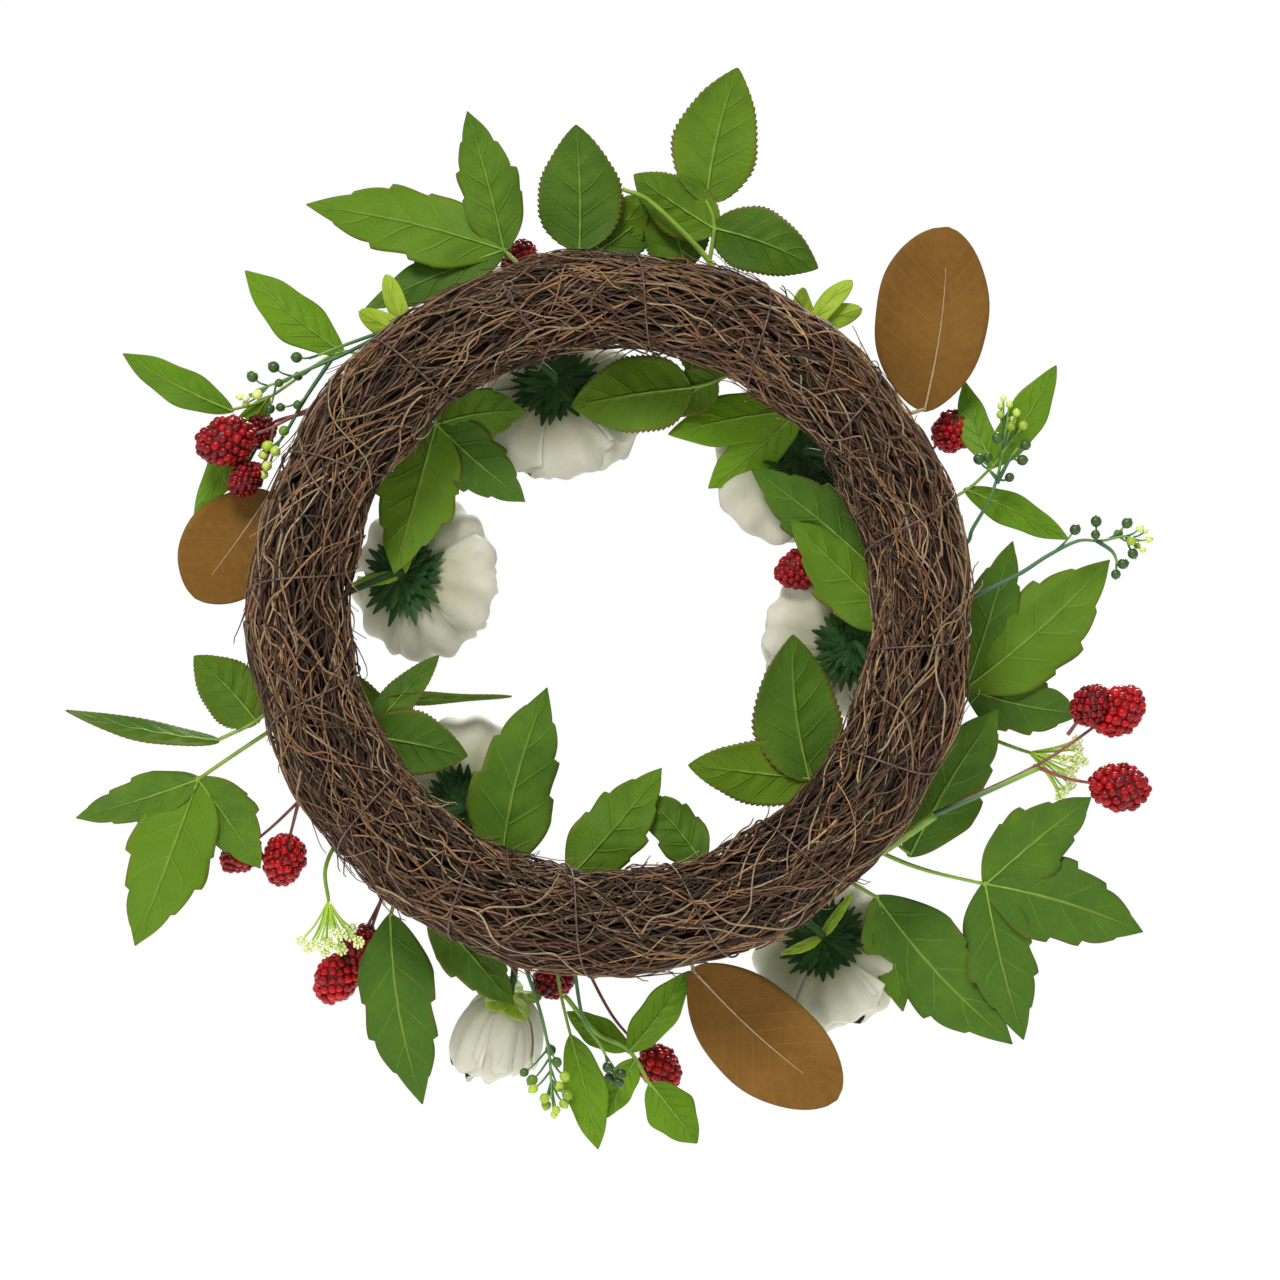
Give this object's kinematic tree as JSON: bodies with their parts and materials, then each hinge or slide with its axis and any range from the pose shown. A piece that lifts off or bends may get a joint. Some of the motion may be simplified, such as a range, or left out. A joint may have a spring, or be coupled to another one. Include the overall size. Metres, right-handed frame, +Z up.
{
  "type": "door wreath",
  "caption": "Round door wreath: a wire-bound twig ring dressed with cream peonies, raspberries, green berries, lace flowers and green and brown-backed leaves on bendable wired picks.",
  "frame": {"origin": "the hook seat: the inside of the ring's top, on the ring's middle plane, where a door hook holds the wreath", "axes": "+Z up, -Y the dressed front, +Y the bare twig back towards the door, +X to the right as seen from the front"},
  "size_m": [0.5447, 0.1288, 0.5409],
  "materials": {
    "twig": "rough dark red-brown bark, with odd tan strands",
    "core_wire": "plain drawn wire",
    "binding_wire": "plum-brown coated wire",
    "green_leaf": "matt printed leaf with pale veins",
    "smooth_leaf": "satin green moulded leaf",
    "magnolia_leaf": "brown suede back, glossy green face",
    "petal": "cream latex-coated petals",
    "calyx": "dark green moulded cup",
    "raspberry": "deep red, glossy drupelets",
    "green_berry": "dark green to pale lime beads",
    "lace_flower": "lime stems and tiny pale beads"
  },
  "bodies": {
    "wreath": {"binding_wire": "binding_wire", "core_hoop": "core_wire", "flower_calyx_1": "calyx", "flower_calyx_2": "calyx", "flower_calyx_3": "calyx", "flower_calyx_4": "calyx", "flower_calyx_5": "calyx", "flower_calyx_6": "calyx", "flower_calyx_7": "calyx", "flower_head_1": "petal", "flower_head_2": "petal", "flower_head_3": "petal", "flower_head_4": "petal", "flower_head_5": "petal", "flower_head_6": "petal", "flower_head_7": "petal", "front_leaf_spray": "green_leaf", "green_sprig_bottom": "green_berry", "green_sprig_left": "green_berry", "green_sprig_top_right": "green_berry", "lace_flower_left": "lace_flower", "lace_flower_right": "lace_flower", "leaf_bottom_left": "green_leaf", "leaf_pair_bottom_right": "green_leaf", "leaf_pair_inner_right": "green_leaf", "leaf_right_low": "green_leaf", "leaf_spray_inner_bottom": "green_leaf", "leaf_spray_inner_left": "green_leaf", "magnolia_leaf_bottom": "magnolia_leaf", "magnolia_leaf_left": "magnolia_leaf", "peony_leaf_bottom_right": "green_leaf", "peony_leaf_inner_left": "green_leaf", "peony_leaf_left": "green_leaf", "peony_leaf_right": "green_leaf", "raspberry_pick_bottom": "raspberry", "raspberry_pick_bottom_left": "raspberry", "raspberry_pick_inner_right": "raspberry", "raspberry_pick_left": "raspberry", "raspberry_pick_lower_left": "raspberry", "raspberry_pick_top": "raspberry", "raspberry_pick_top_right": "raspberry", "rose_spray_inner_right": "green_leaf", "rose_spray_inner_top": "green_leaf", "rose_spray_left": "green_leaf", "rose_spray_top": "green_leaf", "rose_spray_top_left": "green_leaf", "smooth_spray_bottom": "smooth_leaf", "smooth_spray_inner_top": "smooth_leaf", "smooth_spray_right": "smooth_leaf", "smooth_spray_upper_left": "smooth_leaf", "twig_strand_1": "twig", "twig_strand_2": "twig", "twig_strand_3": "twig", "twig_strand_4": "twig", "twig_strand_5": "twig"},
    "eye": {"hanging_eye": "binding_wire"},
    "top_right_leaf": {"magnolia_leaf_top_right": "magnolia_leaf"},
    "top_left_spray": {"peony_leaf_top_left": "green_leaf"},
    "right_raspberries": {"raspberry_pick_right": "raspberry"},
    "right_sprig": {"green_sprig_right": "green_berry"}
  },
  "joints": [
    {"name": "eye_fold", "type": "hinge", "parent": "wreath", "child": "eye", "pos_m": [0.04977, 0.0286, 0.02784], "axis": [-0.9537, 0, 0.3007], "range_deg": [0, 90]},
    {"name": "top_right_leaf_bend", "type": "hinge", "parent": "wreath", "child": "top_right_leaf", "pos_m": [-0.13762, -0.031, -0.03364], "axis": [-0.5736, 0, -0.8191], "range_deg": [-12, 12]},
    {"name": "top_left_spray_bend", "type": "hinge", "parent": "wreath", "child": "top_left_spray", "pos_m": [0.03493, -0.031, 0.03433], "axis": [-0.9781, 0, 0.2079], "range_deg": [-12, 12]},
    {"name": "right_raspberries_bend", "type": "hinge", "parent": "wreath", "child": "right_raspberries", "pos_m": [-0.11777, -0.024, -0.26079], "axis": [0.6428, 0, -0.766], "range_deg": [-6, 10]},
    {"name": "right_sprig_bend", "type": "hinge", "parent": "wreath", "child": "right_sprig", "pos_m": [-0.18728, -0.022, -0.11361], "axis": [-0.0872, 0, -0.9962], "range_deg": [-10, 12]}
  ]
}
